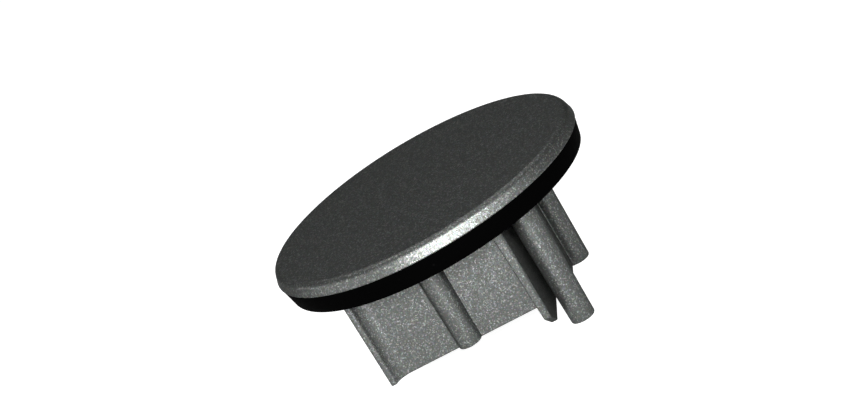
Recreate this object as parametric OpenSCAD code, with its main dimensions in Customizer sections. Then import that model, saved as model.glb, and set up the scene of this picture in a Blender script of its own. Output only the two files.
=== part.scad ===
// Handrail end cap: a cast cap with a plug under its rim plate, and a rubber gasket ring.
// Millimetres. The origin is on the rail's axis, in the plane where the rail's end meets
// the gasket. +Z points out of the rail, so the plug hangs below the origin.

/* [Rail] */
// Outside diameter of the rail tube that the cap closes
rail_d = 60; // [57:0.5:70]
// Wall thickness of the rail tube
rail_wall = 3; // [2:0.1:3.3]

/* [Plate] */
// Thickness of the round plate
plate_t = 2.4; // [2.1:0.1:4]
// Casting draft of the plate's side, in degrees
plate_draft = 18; // [5:1:20]
// Radius of the plate's upper edge
plate_edge_r = 1.3; // [0.5:0.1:1.8]

/* [Gasket] */
// Thickness of the gasket ring
gasket_t = 3.75; // [3:0.05:5]
// How far the gasket's side is set in from the plate's edge
gasket_set = 0.2; // [0.1:0.05:0.6]
// Lean of the gasket's side, in degrees
gasket_lean = 12; // [3:1:14]
// Radius of the gasket's lower outer edge
gasket_edge_r = 0.3; // [0.2:0.05:0.8]
// Gap between the gasket's bore and the widest point of the plug
gasket_clear = 0.4; // [0.2:0.05:0.6]

/* [Plug walls] */
// Distance between the outer faces of the two side walls
wall_spacing = 33; // [28:0.5:35]
// Thickness of the side walls
wall_t = 2; // [1.2:0.1:3]
// Depth of the side walls below the rail's end
wall_drop = 18.1; // [12:0.1:19.5]
// Gap between the rail's bore and the prongs of the plug
plug_clear = 0.95; // [0.7:0.05:2]

/* [Prongs] */
// How far the prong stands out from its side wall
prong_proud = 1.9; // [1:0.1:2.6]
// Width of the prong's blunt edge
prong_edge = 1; // [0.5:0.05:1.5]
// Radius of the cove between the prong and its wall
cove_r = 3; // [2.7:0.1:5]
// Thickness of the return flange behind the prong
return_t = 1.6; // [1:0.1:2.4]
// Length of the return flange behind the outer face of its wall
return_len = 8; // [4:0.5:11]

/* [Fins] */
// Distance from the axis to the outer face of the fins
fin_x = 11.95; // [10:0.05:12.4]
// Thickness of the fins at the plate
fin_root_t = 2; // [1.6:0.1:2.4]
// Thickness of the fins at their tip
fin_tip_t = 1.25; // [1:0.05:1.5]
// How far the fin stands out from its side wall
fin_proud = 3.1; // [1.5:0.1:4]
// Length of the fin behind the outer face of its wall
fin_len = 12; // [6:0.5:13]
// Radius of the fin's front edge on the side of the posts
fin_edge_r = 0.6; // [0.3:0.05:0.8]
// Depth of the fins below the rail's end
fin_drop = 22.1; // [16:0.1:23]
// Length of the lead-in cut at the fin's lower corner
fin_lead_len = 4.2; // [2:0.1:5]
// Height of the lead-in cut at the fin's lower corner
fin_lead_h = 2.6; // [1:0.1:3]

/* [Wall ribs] */
// Distance from the axis to the centre of the half-round ribs, towards the prongs
rib_x = 2.9; // [0:0.1:6]
// Radius of the ribs at their tip
rib_tip_r = 2.2; // [1.2:0.1:3]
// Radius of the ribs at the plate
rib_root_r = 2.45; // [1.3:0.05:3.2]

/* [Posts] */
// Distance from the axis to the plane of the two posts
post_x = 15.6; // [15:0.1:17]
// Distance between the centres of the two posts
post_spacing = 26.4; // [20:0.2:28]
// Diameter of the posts at their tip
post_tip_d = 4.5; // [3:0.1:5]
// Diameter of the posts at the plate
post_root_d = 5.3; // [3.5:0.1:6]
// Depth of the posts below the rail's end
post_drop = 24.6; // [20:0.1:30]
// Thickness of the web that ties the two posts together
web_t = 1.2; // [0.8:0.1:1.5]
// Distance from the posts' centres to the web's outer face
web_set = 1; // [0.5:0.1:1.2]
// How far the web stops short of the posts' tips
web_short = 0.3; // [0.1:0.1:2]

/* [Hidden] */
$fn = 96;
plate_r = rail_d / 2;
wall_y = wall_spacing / 2;
// Reach of the prongs, and the gasket bore that passes over them
prong_reach = plate_r - rail_wall - plug_clear;
gasket_bore_r = prong_reach + gasket_clear;
prong_y = wall_y + prong_proud;
prong_x = -sqrt(pow(prong_reach, 2) - pow(prong_y, 2));
// Width of the cove, from the prong's edge to where it runs into the wall
cove_w = sqrt(pow(cove_r, 2) - pow(cove_r - prong_proud, 2));
fin_y = wall_y + fin_proud;
post_y = post_spacing / 2;
// The plug's walls and posts are rooted half-way into the plate
root_z = gasket_t + plate_t / 2;

// Repeats a feature on both sides of the cap's middle plane
module both_sides() {
    children();
    mirror([0, 1, 0]) children();
}

// Slice of a disc from the given angle up to a right angle, which rounds the edge of a section
module edge_slice(r, angle) {
    intersection() {
        circle(r);
        polygon([[0, 0], 2 * r * [cos(angle), sin(angle)], [2 * r, 2 * r], [0, 2 * r]]);
    }
}

// Half section of a ring or disc of thickness t. Its side leans in from outer_r by an angle
// and runs into an upper edge of radius edge_r.
module leaning_profile(inner_r, outer_r, t, lean, edge_r) {
    centre = [outer_r - edge_r / cos(lean) - (t - edge_r) * tan(lean), t - edge_r];
    polygon([
        [inner_r, 0],
        [outer_r, 0],
        centre + edge_r * [cos(lean), sin(lean)],
        centre,
        [centre.x, t],
        [inner_r, t],
    ]);
    translate(centre) edge_slice(edge_r, lean);
}

// Plan of one side wall with the coved prong and its return flange
module wall_plan() {
    translate([prong_x, -wall_y]) square([fin_x - prong_x, wall_t]);
    translate([prong_x, -wall_y]) square([return_t, return_len]);
    difference() {
        translate([prong_x, -prong_y]) square([prong_edge + cove_w, prong_proud + wall_t / 2]);
        translate([prong_x + prong_edge + cove_w, -wall_y - cove_r]) circle(cove_r);
    }
}

// Plan of one fin from the middle plane outwards, with one rounded front edge
module fin_plan() {
    front_y = -fin_y + fin_edge_r;
    translate([0, front_y]) square([fin_x, fin_len - wall_y - front_y]);
    translate([0, -fin_y]) square([fin_x - fin_edge_r, fin_edge_r]);
    translate([fin_x - fin_edge_r, front_y]) mirror([0, 1]) edge_slice(fin_edge_r, 0);
}

// Carries a plan from its depth below the rail's end up into the plate
module drop(depth) {
    translate([0, 0, -depth]) linear_extrude(depth + root_z) children();
}

// Fin across the end of a side wall: its inner face has draft and its lower corner a lead-in
module fin() {
    intersection() {
        drop(fin_drop) fin_plan();
        rotate([90, 0, 0]) linear_extrude(2 * fin_y) polygon([
            [fin_x - fin_root_t, root_z],
            [fin_x - fin_tip_t, -fin_drop],
            [2 * fin_x, -fin_drop],
            [2 * fin_x, root_z],
        ]);
        rotate([90, 0, 90]) linear_extrude(2 * fin_x) polygon([
            [0, root_z],
            [-fin_y, root_z],
            [-fin_y, fin_lead_h - fin_drop],
            [fin_lead_len - fin_y, -fin_drop],
            [0, -fin_drop],
        ]);
    }
}

// Half-round rib down the middle of a side wall, with casting draft
module wall_rib() {
    height = wall_drop + root_z;
    intersection() {
        translate([-rib_x, -wall_y, -wall_drop]) cylinder(height, rib_tip_r, rib_root_r);
        translate([-rib_x - rib_root_r, -wall_y - rib_root_r, -wall_drop])
            cube([2 * rib_root_r, rib_root_r + wall_t / 2, height]);
    }
}

// Round post with casting draft
module post() {
    translate([post_x, -post_y, -post_drop])
        cylinder(post_drop + root_z, d1 = post_tip_d, d2 = post_root_d);
}

// Thin wall from post to post
module post_web() {
    depth = post_drop - web_short;
    translate([post_x - web_set - web_t, -post_y, -depth])
        cube([web_t, post_spacing, depth + root_z]);
}

module cap_casting() {
    color("#62666a") union() {
        translate([0, 0, gasket_t]) rotate_extrude()
            leaning_profile(0, plate_r, plate_t, plate_draft, plate_edge_r);
        both_sides() {
            drop(wall_drop) wall_plan();
            fin();
            wall_rib();
            post();
        }
        post_web();
    }
}

module rim_gasket() {
    color("#0b0b0c") translate([0, 0, gasket_t]) mirror([0, 0, 1])
        rotate_extrude()
            leaning_profile(gasket_bore_r, plate_r - gasket_set, gasket_t, gasket_lean, gasket_edge_r);
}

cap_casting();
rim_gasket();
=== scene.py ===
"""Handrail end cap: the cast cap with its sparkling metallic coat, and the black gasket ring.

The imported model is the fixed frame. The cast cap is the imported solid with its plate's edge
rounded in fine steps and its other sharp edges softened. The gasket ring is swept round the
rail's axis by Geometry Nodes.
"""

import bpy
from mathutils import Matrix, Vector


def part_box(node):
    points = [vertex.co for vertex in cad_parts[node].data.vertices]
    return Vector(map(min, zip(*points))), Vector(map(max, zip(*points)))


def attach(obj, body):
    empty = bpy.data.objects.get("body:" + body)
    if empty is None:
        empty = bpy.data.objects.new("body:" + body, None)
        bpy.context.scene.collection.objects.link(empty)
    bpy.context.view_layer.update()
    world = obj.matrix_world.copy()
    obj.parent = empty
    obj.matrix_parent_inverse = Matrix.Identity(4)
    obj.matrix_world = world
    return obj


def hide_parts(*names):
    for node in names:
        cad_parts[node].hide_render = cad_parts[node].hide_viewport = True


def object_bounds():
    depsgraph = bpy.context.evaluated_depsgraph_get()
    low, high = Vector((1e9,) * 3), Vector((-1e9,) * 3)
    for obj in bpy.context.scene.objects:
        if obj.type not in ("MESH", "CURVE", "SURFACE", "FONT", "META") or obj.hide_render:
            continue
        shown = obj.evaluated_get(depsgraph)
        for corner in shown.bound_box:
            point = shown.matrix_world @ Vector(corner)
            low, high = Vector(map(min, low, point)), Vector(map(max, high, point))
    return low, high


bl_info = {
    "name": "Handrail end cap",
    "version": (1, 0, 0),
    "blender": (4, 5, 0),
    "location": "View3D > Sidebar > End Cap",
    "description": "Dresses the packed cast cap and gasket ring of a tubular handrail",
    "category": "Object",
}

import math

import bmesh
import bpy
from bpy.props import FloatProperty, FloatVectorProperty, PointerProperty
from mathutils import Quaternion, Vector

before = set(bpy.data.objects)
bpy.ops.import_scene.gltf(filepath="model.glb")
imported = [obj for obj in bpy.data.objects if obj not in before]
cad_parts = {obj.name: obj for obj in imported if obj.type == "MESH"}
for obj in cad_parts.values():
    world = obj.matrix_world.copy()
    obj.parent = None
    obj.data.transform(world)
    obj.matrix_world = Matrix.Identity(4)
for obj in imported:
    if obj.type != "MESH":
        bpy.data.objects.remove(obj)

CAD_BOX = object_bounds()
GASKET_LOW, GASKET_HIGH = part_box("rim_gasket")
GASKET_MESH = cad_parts["rim_gasket"].data
GASKET_BORE = min(vertex.co.xy.length for vertex in GASKET_MESH.vertices)

MILLIMETRE = 0.001
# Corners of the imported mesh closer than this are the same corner
MERGE_DISTANCE = 0.000002
# The floor lies this far below the posts' tips, so that the two don't flicker
FLOOR_GAP = 0.00005
# Gasket properties, and the inputs of the node tree that they drive
RING_SIZES = {
    "outer_radius": "Outer radius",
    "bore_radius": "Bore radius",
    "top": "Top",
    "bottom": "Bottom",
    "lean": "Lean",
    "edge_radius": "Edge radius",
    "corner_radius": "Corner radius",
}
# Place of the lower outer corner in the section, counted from the bore's top
LOWER_OUTER_CORNER = 2
# The higher this power, the fewer of the coat's flakes are bright
FLAKE_POWER = 6.0
# Share of a random colour in each flake, and the white it is mixed into, which keeps the mean
FLAKE_TINT = 0.2
FLAKE_WHITE = (1.1, 1.1, 1.1)
# Dust on the coat and on the rubber: the group's values, and how much lighter a speck is
COAT_DUST = {"Spacing": 2.6 * MILLIMETRE, "Share": 0.045}
COAT_DUST_LIFT = 1.7
RUBBER_DUST = {"Spacing": 2.8 * MILLIMETRE, "Share": 0.07}
RUBBER_DUST_LIFT = 5
# How far the grain moves the roughness of each finish, and the rubber's colour, from the mean
COAT_ROUGH_SWING = 0.05
RUBBER_ROUGH_SWING = 0.08
RUBBER_COLOUR_SWING = 0.5
# Specular level of the matt rubber
RUBBER_GLOSS = 0.005
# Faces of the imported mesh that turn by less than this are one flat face
FLAT_ANGLE = math.radians(0.2)
# Steps of the plate's rounded upper edge, of a softened edge, and of the ring and its corners
EDGE_STEPS = 12
SOFT_EDGE_STEPS = 2
RING_STEPS = 256
CORNER_STEPS = 4
FLOOR_STEPS = 96
# Width of the camera's sensor in millimetres
SENSOR_WIDTH = 36
# Soft lamps: azimuth and elevation in degrees, then distance, width and height in metres
LAMPS = {
    "key_low": (3, 1.5, 0.14, 0.05, 0.03),
    "key_high": (10, 25, 0.5, 0.54, 0.09),
    "fill_left": (-75, 14, 0.6, 0.9, 0.15),
    "fill_right": (62, 16, 0.6, 0.2, 0.15),
    "fill_top": (188, 75, 0.6, 0.7, 0.7),
}


class CastingLook(bpy.types.PropertyGroup):
    """Edges and metallic coat of the cast cap"""

    plate_draft: FloatProperty(
        name="Plate draft",
        description="How far the plate's side leans in towards its top",
        default=math.radians(18),
        subtype="ANGLE",
    )
    plate_edge_radius: FloatProperty(
        name="Plate edge radius",
        description="Radius of the plate's upper edge",
        default=1.3 * MILLIMETRE,
        unit="LENGTH",
        precision=5,
    )
    edge_radius: FloatProperty(
        name="Edge radius",
        description="Radius that softens the casting's sharp edges",
        default=0.25 * MILLIMETRE,
        unit="LENGTH",
        precision=5,
    )
    edge_angle: FloatProperty(
        name="Edge angle",
        description="Edges that turn by more than this are softened",
        default=math.radians(30),
        subtype="ANGLE",
    )
    colour: FloatVectorProperty(
        name="Coat colour",
        description="Colour of the metallic coat",
        default=(0.124, 0.13, 0.125),
        subtype="COLOR",
        min=0,
        max=1,
    )
    metallic: FloatProperty(
        name="Metallic",
        description="Share of the coat that shines as bare metal does",
        default=0.86,
        subtype="FACTOR",
        min=0,
        max=1,
    )
    roughness: FloatProperty(
        name="Roughness",
        description="Mean roughness of the coat",
        default=0.4,
        subtype="FACTOR",
        min=0,
        max=1,
    )
    edge_sheen: FloatProperty(
        name="Edge sheen",
        description="Brightness of the coat at a glancing view, as a share of what bare metal has",
        default=0.27,
        subtype="FACTOR",
        min=0,
        max=1,
    )
    flake_size: FloatProperty(
        name="Flake size",
        description="Width of one metal flake in the coat",
        default=0.2 * MILLIMETRE,
        unit="LENGTH",
        precision=5,
    )
    flake_tilt: FloatProperty(
        name="Flake tilt",
        description="How far the flakes lean out of the surface",
        default=0.12,
        subtype="FACTOR",
        min=0,
        max=1,
    )
    flake_contrast: FloatProperty(
        name="Flake contrast",
        description="How much the colour changes from flake to flake",
        default=0.2,
        subtype="FACTOR",
        min=0,
        max=1,
    )
    peel_size: FloatProperty(
        name="Orange peel size",
        description="Width of the shallow waves in the coat",
        default=1.1 * MILLIMETRE,
        unit="LENGTH",
        precision=5,
    )
    peel_height: FloatProperty(
        name="Orange peel height",
        description="Height of the shallow waves in the coat",
        default=0.012 * MILLIMETRE,
        unit="LENGTH",
        precision=6,
    )


class GasketLook(bpy.types.PropertyGroup):
    """Section and rubber of the gasket ring"""

    outer_radius: FloatProperty(
        name="Outer radius",
        description="Outside radius of the gasket ring",
        default=GASKET_HIGH.y,
        unit="LENGTH",
        precision=5,
    )
    bore_radius: FloatProperty(
        name="Bore radius",
        description="Inside radius of the gasket ring",
        default=GASKET_BORE,
        unit="LENGTH",
        precision=5,
    )
    top: FloatProperty(
        name="Top",
        description="Height at which the ring meets the plate",
        default=GASKET_HIGH.z,
        unit="LENGTH",
        precision=5,
    )
    bottom: FloatProperty(
        name="Bottom",
        description="Height at which the ring meets the rail",
        default=GASKET_LOW.z,
        unit="LENGTH",
        precision=5,
    )
    lean: FloatProperty(
        name="Lean",
        description="How far the ring's side leans in towards the rail",
        default=math.radians(12),
        subtype="ANGLE",
    )
    edge_radius: FloatProperty(
        name="Edge radius",
        description="Radius of the ring's lower outer edge",
        default=0.3 * MILLIMETRE,
        unit="LENGTH",
        precision=5,
    )
    corner_radius: FloatProperty(
        name="Corner radius",
        description="Radius of the ring's other three edges",
        default=0.12 * MILLIMETRE,
        unit="LENGTH",
        precision=5,
    )
    colour: FloatVectorProperty(
        name="Rubber colour",
        description="Colour of the rubber",
        default=(0.0004, 0.0004, 0.0004),
        subtype="COLOR",
        min=0,
        max=1,
    )
    roughness: FloatProperty(
        name="Roughness",
        description="Mean roughness of the rubber",
        default=0.7,
        subtype="FACTOR",
        min=0,
        max=1,
    )
    grain_size: FloatProperty(
        name="Grain size",
        description="Width of the moulded grain in the rubber",
        default=0.3 * MILLIMETRE,
        unit="LENGTH",
        precision=5,
    )
    grain_height: FloatProperty(
        name="Grain height",
        description="Height of the moulded grain in the rubber",
        default=0.006 * MILLIMETRE,
        unit="LENGTH",
        precision=6,
    )


class StageLook(bpy.types.PropertyGroup):
    """Camera, lights and floor"""

    view_azimuth: FloatProperty(
        name="View azimuth",
        description="How far the camera stands round from the front, towards the posts",
        default=math.radians(11.837),
        subtype="ANGLE",
    )
    view_elevation: FloatProperty(
        name="View elevation",
        description="How far the camera stands above the plate's plane",
        default=math.radians(17.19),
        subtype="ANGLE",
    )
    view_roll: FloatProperty(
        name="View roll",
        description="How far the camera is rolled clockwise about its own axis",
        default=math.radians(31.322),
        subtype="ANGLE",
    )
    view_distance: FloatProperty(
        name="View distance",
        description="Distance from the camera to the point it looks at",
        default=432.376 * MILLIMETRE,
        unit="LENGTH",
    )
    view_target: FloatVectorProperty(
        name="View target",
        description="Point that the camera looks at",
        default=(-0.856 * MILLIMETRE, 1.905 * MILLIMETRE, 1.595 * MILLIMETRE),
        subtype="XYZ",
        precision=5,
    )
    lens: FloatProperty(
        name="Lens",
        description="Focal length of the camera, in millimetres",
        default=103.696,
    )
    key_low: FloatProperty(
        name="Low key",
        description="Power of the small low lamp close in front",
        default=0.065,
        unit="POWER",
    )
    key_high: FloatProperty(
        name="High key",
        description="Power of the wide lamp above the camera",
        default=5.5,
        unit="POWER",
    )
    fill_left: FloatProperty(
        name="Left fill",
        description="Power of the soft lamp at the left",
        default=0.95,
        unit="POWER",
    )
    fill_right: FloatProperty(
        name="Right fill",
        description="Power of the soft lamp at the right",
        default=0.28,
        unit="POWER",
    )
    fill_top: FloatProperty(
        name="Top fill",
        description="Power of the large soft lamp overhead, a little to the back",
        default=1.3,
        unit="POWER",
    )
    world_grey: FloatProperty(
        name="Room grey",
        description="Grey of the room round the stage",
        default=0.055,
        min=0,
        max=1,
    )
    floor_colour: FloatVectorProperty(
        name="Floor colour",
        description="Colour of the plain pale floor",
        default=(0.5, 0.5, 0.5),
        subtype="COLOR",
        min=0,
        max=1,
    )
    floor_white: FloatProperty(
        name="Floor white",
        description="How white the floor looks to the camera; 1 is white",
        default=0.92,
        min=0,
        max=1,
    )
    floor_mirrored: FloatProperty(
        name="Mirrored white",
        description="Share of that white that shows in the coat, on top of the lit floor itself",
        default=0.22,
        min=0,
        max=1,
    )
    floor_radius: FloatProperty(
        name="Floor radius",
        description="Radius of the round floor",
        default=4,
        unit="LENGTH",
    )


def new_group(name, inputs, outputs):
    """A shader node group with named sockets, each given as (name, socket type, default)."""
    group = bpy.data.node_groups.new(name, "ShaderNodeTree")
    for socket_name, socket_type, default in inputs:
        socket = group.interface.new_socket(socket_name, in_out="INPUT", socket_type=socket_type)
        if default is not None:
            socket.default_value = default
    for socket_name, socket_type in outputs:
        group.interface.new_socket(socket_name, in_out="OUTPUT", socket_type=socket_type)
    return group, group.nodes.new("NodeGroupInput"), group.nodes.new("NodeGroupOutput")


def feed(tree, value, socket):
    """Gives a socket its value, from another socket or as a plain number or colour."""
    if isinstance(value, bpy.types.NodeSocket):
        tree.links.new(value, socket)
    else:
        socket.default_value = value


def math_node(tree, operation, first, second):
    """A Math node; each operand is a socket or a number."""
    node = tree.nodes.new("ShaderNodeMath")
    node.operation = operation
    feed(tree, first, node.inputs[0])
    feed(tree, second, node.inputs[1])
    return node.outputs["Value"]


def grain_group():
    """Shallow waves of a moulded or sprayed skin, as a height in metres and as a mask."""
    group, given, result = new_group(
        "skin_grain",
        [
            ("Vector", "NodeSocketVector", None),
            ("Width", "NodeSocketFloat", MILLIMETRE),
            ("Height", "NodeSocketFloat", 0.01 * MILLIMETRE),
        ],
        [("Height", "NodeSocketFloat"), ("Mask", "NodeSocketFloat")],
    )
    scale = math_node(group, "DIVIDE", 1.0, given.outputs["Width"])
    noise = group.nodes.new("ShaderNodeTexNoise")
    noise.inputs["Detail"].default_value = 3
    noise.inputs["Roughness"].default_value = 0.55
    group.links.new(given.outputs["Vector"], noise.inputs["Vector"])
    group.links.new(scale, noise.inputs["Scale"])
    height = math_node(group, "MULTIPLY", noise.outputs["Fac"], given.outputs["Height"])
    group.links.new(height, result.inputs["Height"])
    group.links.new(noise.outputs["Fac"], result.inputs["Mask"])
    return group


def speck_group():
    """Sparse round specks, such as dust or pinholes, as a mask."""
    group, given, result = new_group(
        "sparse_specks",
        [
            ("Vector", "NodeSocketVector", None),
            ("Spacing", "NodeSocketFloat", 4 * MILLIMETRE),
            ("Share", "NodeSocketFloat", 0.05),
        ],
        [("Mask", "NodeSocketFloat")],
    )
    cells = group.nodes.new("ShaderNodeTexVoronoi")
    scale = math_node(group, "DIVIDE", 1.0, given.outputs["Spacing"])
    group.links.new(given.outputs["Vector"], cells.inputs["Vector"])
    group.links.new(scale, cells.inputs["Scale"])
    inside = math_node(group, "LESS_THAN", cells.outputs["Distance"], given.outputs["Share"])
    group.links.new(inside, result.inputs["Mask"])
    return group


def flake_group():
    """Metal flakes in a coat: each has a brightness, a faint tint and a normal that leans."""
    group, given, result = new_group(
        "metal_flakes",
        [
            ("Vector", "NodeSocketVector", None),
            ("Size", "NodeSocketFloat", 0.25 * MILLIMETRE),
            ("Tilt", "NodeSocketFloat", 0.2),
        ],
        [
            ("Brightness", "NodeSocketFloat"),
            ("Tint", "NodeSocketColor"),
            ("Normal", "NodeSocketVector"),
        ],
    )
    cells = group.nodes.new("ShaderNodeTexVoronoi")
    scale = math_node(group, "DIVIDE", 1.0, given.outputs["Size"])
    group.links.new(given.outputs["Vector"], cells.inputs["Vector"])
    group.links.new(scale, cells.inputs["Scale"])
    # A second random number for each flake, so that brightness and tint don't go together
    chance = group.nodes.new("ShaderNodeTexWhiteNoise")
    group.links.new(cells.outputs["Color"], chance.inputs["Vector"])
    few_bright = math_node(group, "POWER", chance.outputs["Value"], FLAKE_POWER)
    group.links.new(few_bright, result.inputs["Brightness"])
    tint = mix_colour(group, FLAKE_TINT, opaque(FLAKE_WHITE), cells.outputs["Color"])
    group.links.new(tint, result.inputs["Tint"])
    centred = group.nodes.new("ShaderNodeVectorMath")
    centred.operation = "SUBTRACT"
    centred.inputs[1].default_value = (0.5, 0.5, 0.5)
    group.links.new(cells.outputs["Color"], centred.inputs[0])
    leaned = group.nodes.new("ShaderNodeVectorMath")
    leaned.operation = "SCALE"
    group.links.new(centred.outputs["Vector"], leaned.inputs["Vector"])
    group.links.new(given.outputs["Tilt"], leaned.inputs["Scale"])
    surface = group.nodes.new("ShaderNodeNewGeometry")
    added = group.nodes.new("ShaderNodeVectorMath")
    added.operation = "ADD"
    group.links.new(surface.outputs["Normal"], added.inputs[0])
    group.links.new(leaned.outputs["Vector"], added.inputs[1])
    unit = group.nodes.new("ShaderNodeVectorMath")
    unit.operation = "NORMALIZE"
    group.links.new(added.outputs["Vector"], unit.inputs[0])
    group.links.new(unit.outputs["Vector"], result.inputs["Normal"])
    return group


def shared_group(name, builder):
    """A shader node group that is built once and then used by each material."""
    return bpy.data.node_groups.get(name) or builder()


def new_material(name, diffuse):
    """A material with a Principled shader, its output and Object coordinates."""
    material = bpy.data.materials.new(name)
    material.use_nodes = True
    material.diffuse_color = opaque(diffuse)
    tree = material.node_tree
    shader = tree.nodes["Principled BSDF"]
    place = tree.nodes.new("ShaderNodeTexCoord").outputs["Object"]
    return material, tree, shader, place


def group_node(tree, group, place, **values):
    """Places a shared group in a material, with its own values."""
    node = tree.nodes.new("ShaderNodeGroup")
    node.node_tree = group
    tree.links.new(place, node.inputs["Vector"])
    for name, value in values.items():
        node.inputs[name].default_value = value
    return node


def opaque(colour):
    """The colour with full alpha, as a colour socket takes it."""
    return (*colour, 1)


def mix_colour(tree, share, first, second):
    """A Mix node of two colours; the share and each colour may be a socket or a plain value."""
    node = tree.nodes.new("ShaderNodeMix")
    node.data_type = "RGBA"
    sockets = [s for s in node.inputs if s.type == "RGBA"]
    feed(tree, share, node.inputs["Factor"])
    for socket, value in zip(sockets, (first, second)):
        feed(tree, value, socket)
    return next(s for s in node.outputs if s.type == "RGBA")


def multiply_colour(tree, first, second):
    """A Mix node that multiplies one colour by another."""
    product = mix_colour(tree, 1.0, first, second)
    product.node.blend_type = "MULTIPLY"
    return product


def swung(tree, value, mean, swing):
    """Carries a value between 0 and 1 over to the range of a swing either way from the mean."""
    node = tree.nodes.new("ShaderNodeMapRange")
    tree.links.new(value, node.inputs["Value"])
    node.inputs["To Min"].default_value = mean - swing
    node.inputs["To Max"].default_value = mean + swing
    return node.outputs["Result"]


def bump(tree, height, normal=None):
    """A Bump node whose height is in metres, on top of another normal where one is given."""
    node = tree.nodes.new("ShaderNodeBump")
    node.inputs["Strength"].default_value = 1
    node.inputs["Distance"].default_value = 1
    tree.links.new(height, node.inputs["Height"])
    if normal is not None:
        tree.links.new(normal, node.inputs["Normal"])
    return node.outputs["Normal"]


def coat_material(look):
    """Grey metallic coat of the casting: flakes, orange peel and a little dust."""
    colour = Vector(look.colour)
    material, tree, shader, place = new_material("metallic_coat", colour)
    flakes = group_node(
        tree, shared_group("metal_flakes", flake_group), place,
        Size=look.flake_size, Tilt=look.flake_tilt,
    )
    peel = group_node(
        tree, shared_group("skin_grain", grain_group), place,
        Width=look.peel_size, Height=look.peel_height,
    )
    dust = group_node(tree, shared_group("sparse_specks", speck_group), place, **COAT_DUST)
    # The dark and the few light flakes have the coat's own colour as their mean
    dark = opaque(colour * (1 - look.flake_contrast))
    light = opaque(colour * (1 + FLAKE_POWER * look.flake_contrast))
    flake_colour = mix_colour(tree, flakes.outputs["Brightness"], dark, light)
    tinted = multiply_colour(tree, flake_colour, flakes.outputs["Tint"])
    dusty = mix_colour(tree, dust.outputs["Mask"], tinted, opaque(colour * COAT_DUST_LIFT))
    tree.links.new(dusty, shader.inputs["Base Color"])
    rough = swung(tree, peel.outputs["Mask"], look.roughness, COAT_ROUGH_SWING)
    tree.links.new(rough, shader.inputs["Roughness"])
    skin = bump(tree, peel.outputs["Height"], flakes.outputs["Normal"])
    tree.links.new(skin, shader.inputs["Normal"])
    shader.inputs["Metallic"].default_value = look.metallic
    shader.inputs["Specular Tint"].default_value = opaque((look.edge_sheen,) * 3)
    shader.inputs["Specular IOR Level"].default_value = 0
    return material


def rubber_material(look):
    """Black rubber of the gasket, with a fine moulded grain and a few specks of dust."""
    colour = Vector(look.colour)
    material, tree, shader, place = new_material("gasket_rubber", colour)
    grain = group_node(
        tree, shared_group("skin_grain", grain_group), place,
        Width=look.grain_size, Height=look.grain_height,
    )
    dust = group_node(tree, shared_group("sparse_specks", speck_group), place, **RUBBER_DUST)
    dark = opaque(colour * (1 - RUBBER_COLOUR_SWING))
    light = opaque(colour * (1 + RUBBER_COLOUR_SWING))
    shade = mix_colour(tree, grain.outputs["Mask"], dark, light)
    dusty = mix_colour(tree, dust.outputs["Mask"], shade, opaque(colour * RUBBER_DUST_LIFT))
    tree.links.new(dusty, shader.inputs["Base Color"])
    rough = swung(tree, grain.outputs["Mask"], look.roughness, RUBBER_ROUGH_SWING)
    tree.links.new(rough, shader.inputs["Roughness"])
    tree.links.new(bump(tree, grain.outputs["Height"]), shader.inputs["Normal"])
    shader.inputs["Specular IOR Level"].default_value = RUBBER_GLOSS
    return material


def floor_material(look):
    """Pale floor that looks white to the camera, less so in reflections, and keeps the shadow."""
    material = bpy.data.materials.new("studio_floor")
    material.use_nodes = True
    tree = material.node_tree
    tree.nodes.clear()
    output = tree.nodes.new("ShaderNodeOutputMaterial")
    matt = tree.nodes.new("ShaderNodeBsdfDiffuse")
    matt.inputs["Color"].default_value = opaque(look.floor_colour)
    white = tree.nodes.new("ShaderNodeEmission")
    path = tree.nodes.new("ShaderNodeLightPath")
    mirrored = math_node(tree, "MULTIPLY", path.outputs["Is Glossy Ray"], look.floor_mirrored)
    seen = math_node(tree, "MAXIMUM", path.outputs["Is Camera Ray"], mirrored)
    seen = math_node(tree, "MAXIMUM", seen, path.outputs["Is Transmission Ray"])
    strength = math_node(tree, "MULTIPLY", seen, look.floor_white)
    tree.links.new(strength, white.inputs["Strength"])
    both = tree.nodes.new("ShaderNodeAddShader")
    tree.links.new(matt.outputs["BSDF"], both.inputs[0])
    tree.links.new(white.outputs["Emission"], both.inputs[1])
    tree.links.new(both.outputs["Shader"], output.inputs["Surface"])
    return material


def add_object(name, data):
    """Links a new object at the origin to the scene."""
    made = bpy.data.objects.new(name, data)
    bpy.context.scene.collection.objects.link(made)
    return made


def baked_mesh(piece):
    """Turns a piece and its modifiers into a plain mesh."""
    depsgraph = bpy.context.evaluated_depsgraph_get()
    finished = bpy.data.meshes.new_from_object(piece.evaluated_get(depsgraph))
    piece.modifiers.clear()
    piece.data = finished
    return piece


def plate_rings(look):
    """Radius and height of each ring of the plate's side, from under its rounded edge to its top."""
    top = CAD_BOX[1].z
    radius = look.plate_edge_radius
    straight = top - GASKET_HIGH.z - radius
    centre = CAD_BOX[1].x - radius / math.cos(look.plate_draft) - straight * math.tan(look.plate_draft)
    for step in range(EDGE_STEPS + 1):
        turn = look.plate_draft + (math.pi / 2 - look.plate_draft) * step / EDGE_STEPS
        yield centre + radius * math.cos(turn), top - radius + radius * math.sin(turn)


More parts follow.
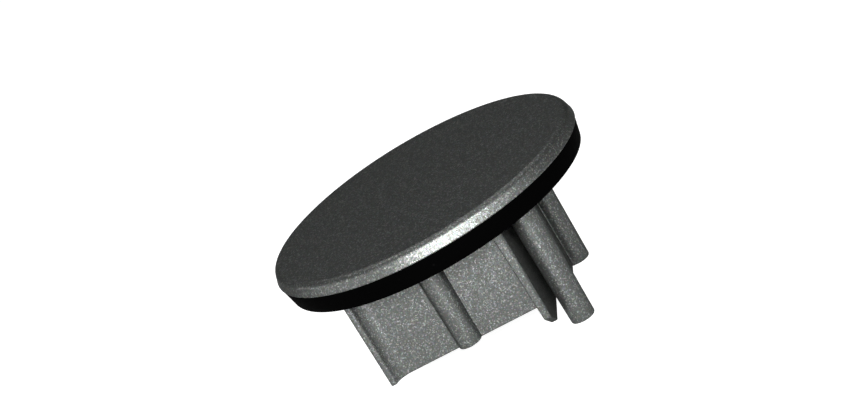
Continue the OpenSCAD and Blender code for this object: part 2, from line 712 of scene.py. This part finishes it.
def round_plate(shape, look):
    """Makes the plate's side and top anew, on its own lower edge, with a finely rounded upper edge."""
    low = GASKET_HIGH.z + MERGE_DISTANCE
    upper = [face for face in shape.faces if max(vertex.co.z for vertex in face.verts) > low]
    bmesh.ops.delete(shape, geom=upper, context="FACES")
    open_edges = [edge for edge in shape.edges if edge.is_boundary]
    ring = list({vertex for edge in open_edges for vertex in edge.verts})
    ring.sort(key=lambda vertex: math.atan2(vertex.co.y, vertex.co.x))
    if len(ring) < 3 or len(ring) != len(open_edges):
        raise RuntimeError("the plate's lower edge isn't one closed ring")
    for radius, height in plate_rings(look):
        above = []
        for vertex in ring:
            outwards = vertex.co.xy.normalized()
            above.append(shape.verts.new((*(outwards * radius), height)))
        for index in range(len(ring)):
            shape.faces.new((ring[index - 1], ring[index], above[index], above[index - 1]))
        ring = above
    shape.faces.new(ring)
    bmesh.ops.recalc_face_normals(shape, faces=shape.faces)


def casting_mesh(look):
    """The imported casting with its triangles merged, its flat faces joined and its plate rounded."""
    mesh = bpy.data.meshes.new("cast_cap")
    shape = bmesh.new()
    shape.from_mesh(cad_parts["cap_casting"].data)
    bmesh.ops.remove_doubles(shape, verts=shape.verts, dist=MERGE_DISTANCE)
    round_plate(shape, look)
    bmesh.ops.dissolve_limit(
        shape, angle_limit=FLAT_ANGLE, verts=shape.verts, edges=shape.edges
    )
    for face in shape.faces:
        face.smooth = True
    shape.to_mesh(mesh)
    shape.free()
    return mesh


def ring_tree():
    """Geometry Nodes that sweep the ring's section, with rounded corners, round the rail's axis."""
    tree = bpy.data.node_groups.new("gasket_ring", "GeometryNodeTree")
    for name in RING_SIZES.values():
        tree.interface.new_socket(name, in_out="INPUT", socket_type="NodeSocketFloat")
    tree.interface.new_socket("Material", in_out="INPUT", socket_type="NodeSocketMaterial")
    tree.interface.new_socket("Ring", in_out="OUTPUT", socket_type="NodeSocketGeometry")
    given = tree.nodes.new("NodeGroupInput").outputs

    path = tree.nodes.new("GeometryNodeCurvePrimitiveCircle")
    path.inputs["Resolution"].default_value = RING_STEPS
    tree.links.new(given["Bore radius"], path.inputs["Radius"])
    upright = tree.nodes.new("GeometryNodeSetCurveNormal")
    upright.mode = "Z_UP"
    tree.links.new(path.outputs["Curve"], upright.inputs["Curve"])

    # The sweep turns the section over, so its heights are drawn downwards
    top = math_node(tree, "MULTIPLY", given["Top"], -1.0)
    bottom = math_node(tree, "MULTIPLY", given["Bottom"], -1.0)
    width = math_node(tree, "SUBTRACT", given["Outer radius"], given["Bore radius"])
    height = math_node(tree, "SUBTRACT", given["Top"], given["Bottom"])
    slope = math_node(tree, "TANGENT", given["Lean"], 0.0)
    low_width = math_node(tree, "SUBTRACT", width, math_node(tree, "MULTIPLY", height, slope))
    section = tree.nodes.new("GeometryNodeCurvePrimitiveQuadrilateral")
    section.mode = "POINTS"
    corners = ((0.0, top), (width, top), (low_width, bottom), (0.0, bottom))
    for number, corner in enumerate(corners, 1):
        point = tree.nodes.new("ShaderNodeCombineXYZ")
        for socket, value in zip(point.inputs, corner):
            feed(tree, value, socket)
        tree.links.new(point.outputs["Vector"], section.inputs[f"Point {number}"])

    index = tree.nodes.new("GeometryNodeInputIndex").outputs["Index"]
    is_edge = math_node(tree, "COMPARE", index, LOWER_OUTER_CORNER)
    extra = math_node(tree, "SUBTRACT", given["Edge radius"], given["Corner radius"])
    extra = math_node(tree, "MULTIPLY", is_edge, extra)
    rounded = tree.nodes.new("GeometryNodeFilletCurve")
    rounded.mode = "POLY"
    rounded.inputs["Count"].default_value = CORNER_STEPS
    tree.links.new(section.outputs["Curve"], rounded.inputs["Curve"])
    radius = math_node(tree, "ADD", given["Corner radius"], extra)
    tree.links.new(radius, rounded.inputs["Radius"])

    sweep = tree.nodes.new("GeometryNodeCurveToMesh")
    tree.links.new(upright.outputs["Curve"], sweep.inputs["Curve"])
    tree.links.new(rounded.outputs["Curve"], sweep.inputs["Profile Curve"])
    made = sweep.outputs["Mesh"]
    for kind in ("SetShadeSmooth", "RealizeInstances", "SetMaterial"):
        node = tree.nodes.new("GeometryNode" + kind)
        tree.links.new(made, node.inputs["Geometry"])
        made = node.outputs["Geometry"]
    tree.links.new(given["Material"], node.inputs["Material"])
    tree.links.new(made, tree.nodes.new("NodeGroupOutput").inputs["Ring"])
    return tree


class ENDCAP_OT_casting(bpy.types.Operator):
    """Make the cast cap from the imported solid, with soft edges and its metallic coat"""

    bl_idname = "endcap.casting"
    bl_label = "Cast cap"

    def execute(self, context):
        look = context.scene.endcap_casting
        piece = add_object("cast_cap", casting_mesh(look))
        soft = piece.modifiers.new("soft_edges", "BEVEL")
        soft.width = look.edge_radius
        soft.segments = SOFT_EDGE_STEPS
        soft.limit_method = "ANGLE"
        soft.angle_limit = look.edge_angle
        soft.use_clamp_overlap = False
        piece.modifiers.new("even_shading", "WEIGHTED_NORMAL")
        baked_mesh(piece)
        piece.data.materials.clear()
        piece.data.materials.append(coat_material(look))
        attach(piece, "root")
        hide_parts("cap_casting")
        return {"FINISHED"}


class ENDCAP_OT_gasket(bpy.types.Operator):
    """Sweep the gasket ring round the rail's axis and give it its rubber"""

    bl_idname = "endcap.gasket"
    bl_label = "Gasket ring"

    def execute(self, context):
        look = context.scene.endcap_gasket
        piece = add_object("gasket_ring", bpy.data.meshes.new("gasket_ring"))
        tree = ring_tree()
        sweep = piece.modifiers.new("sweep", "NODES")
        sweep.node_group = tree
        sockets = {item.name: item.identifier for item in tree.interface.items_tree}
        for attribute, name in RING_SIZES.items():
            sweep[sockets[name]] = getattr(look, attribute)
        sweep[sockets["Material"]] = rubber_material(look)
        baked_mesh(piece)
        if not piece.data.polygons:
            raise RuntimeError("the gasket ring came out empty")
        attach(piece, "root")
        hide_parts("rim_gasket")
        return {"FINISHED"}


class ENDCAP_OT_stage(bpy.types.Operator):
    """Make the floor, the lamps, the room and the camera"""

    bl_idname = "endcap.stage"
    bl_label = "Stage"

    def execute(self, context):
        look = context.scene.endcap_stage
        add_floor(look)
        add_lamps(look)
        add_room(context.scene, look)
        add_camera(context.scene, look)
        context.scene.view_settings.view_transform = "Standard"
        return {"FINISHED"}


def direction(azimuth, elevation):
    """Unit vector from the cap towards a point seen at that azimuth and elevation."""
    level = math.cos(elevation)
    return Vector((math.sin(azimuth) * level, -math.cos(azimuth) * level, math.sin(elevation)))


def add_floor(look):
    """A wide round floor under the lowest point of the cap."""
    mesh = bpy.data.meshes.new("floor")
    shape = bmesh.new()
    bmesh.ops.create_circle(
        shape, cap_ends=True, segments=FLOOR_STEPS, radius=look.floor_radius
    )
    bmesh.ops.translate(shape, verts=shape.verts, vec=(0, 0, CAD_BOX[0].z - FLOOR_GAP))
    shape.to_mesh(mesh)
    shape.free()
    mesh.materials.append(floor_material(look))
    add_object("floor", mesh)


def add_lamps(look):
    """Oval soft lamps round the cap, each turned towards its middle."""
    for name, (azimuth, elevation, distance, width, height) in LAMPS.items():
        data = bpy.data.lights.new(name, "AREA")
        data.shape = "ELLIPSE"
        data.size = width
        data.size_y = height
        data.energy = getattr(look, name)
        lamp = add_object(name, data)
        lamp.visible_camera = False
        towards = direction(math.radians(azimuth), math.radians(elevation))
        lamp.location = towards * distance
        lamp.rotation_mode = "QUATERNION"
        lamp.rotation_quaternion = towards.to_track_quat("Z", "Y")


def add_room(scene, look):
    """A plain dim room."""
    world = bpy.data.worlds.new("room")
    world.use_nodes = True
    background = world.node_tree.nodes["Background"]
    background.inputs["Color"].default_value = opaque((look.world_grey,) * 3)
    background.inputs["Strength"].default_value = 1
    scene.world = world


def add_camera(scene, look):
    """The camera at the photograph's viewing angle."""
    data = bpy.data.cameras.new("camera")
    data.sensor_width = SENSOR_WIDTH
    data.lens = look.lens
    data.clip_start = 0.01
    data.clip_end = 20
    camera = add_object("camera", data)
    back = direction(look.view_azimuth, look.view_elevation)
    camera.location = Vector(look.view_target) + back * look.view_distance
    camera.rotation_mode = "QUATERNION"
    roll = Quaternion((0, 0, 1), -look.view_roll)
    camera.rotation_quaternion = back.to_track_quat("Z", "Y") @ roll
    scene.camera = camera


class ENDCAP_PT_panel(bpy.types.Panel):
    """Lists the looks and the operators of the end cap"""

    bl_label = "End Cap"
    bl_idname = "ENDCAP_PT_panel"
    bl_space_type = "VIEW_3D"
    bl_region_type = "UI"
    bl_category = "End Cap"

    def draw(self, context):
        for attribute, operator in SECTIONS:
            box = self.layout.box()
            look = getattr(context.scene, attribute)
            for name in look.__annotations__:
                box.prop(look, name)
            box.operator(operator)


SECTIONS = (
    ("endcap_casting", "endcap.casting"),
    ("endcap_gasket", "endcap.gasket"),
    ("endcap_stage", "endcap.stage"),
)
CLASSES = (
    CastingLook,
    GasketLook,
    StageLook,
    ENDCAP_OT_casting,
    ENDCAP_OT_gasket,
    ENDCAP_OT_stage,
    ENDCAP_PT_panel,
)


def register():
    for each in CLASSES:
        bpy.utils.register_class(each)
    bpy.types.Scene.endcap_casting = PointerProperty(type=CastingLook)
    bpy.types.Scene.endcap_gasket = PointerProperty(type=GasketLook)
    bpy.types.Scene.endcap_stage = PointerProperty(type=StageLook)


def unregister():
    del bpy.types.Scene.endcap_stage
    del bpy.types.Scene.endcap_gasket
    del bpy.types.Scene.endcap_casting
    for each in reversed(CLASSES):
        bpy.utils.unregister_class(each)


def main():
    register()
    bpy.ops.endcap.casting()
    bpy.ops.endcap.gasket()
    bpy.ops.endcap.stage()


if __name__ == "__main__":
    main()
